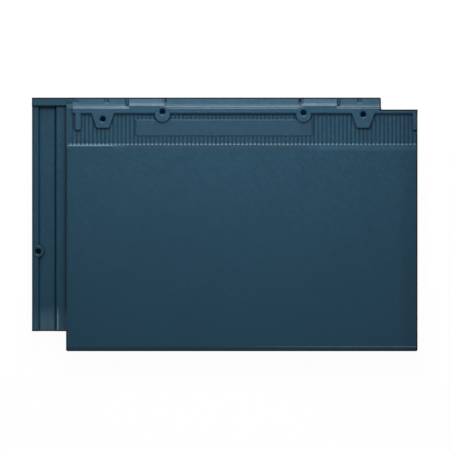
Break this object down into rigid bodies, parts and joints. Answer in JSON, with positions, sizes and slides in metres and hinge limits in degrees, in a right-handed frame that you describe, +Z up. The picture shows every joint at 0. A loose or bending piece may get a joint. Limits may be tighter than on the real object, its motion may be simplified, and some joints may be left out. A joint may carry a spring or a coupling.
{
  "type": "flat roof tile",
  "caption": "Flat interlocking clay roof tile with a satin blue glaze, a side underlap with a water channel, a ridged and grooved head, nail holes and nibs for the batten.",
  "frame": {"origin": "under the middle of the tile, on the floor it lies on", "axes": "+X to the tile's right, across its width, +Y towards its head, +Z up out of the weathered face"},
  "size_m": [0.45, 0.296, 0.034],
  "materials": {
    "glazed_clay": "satin"
  },
  "bodies": {
    "root": {"roof_tile": "glazed_clay"}
  },
  "joints": []
}
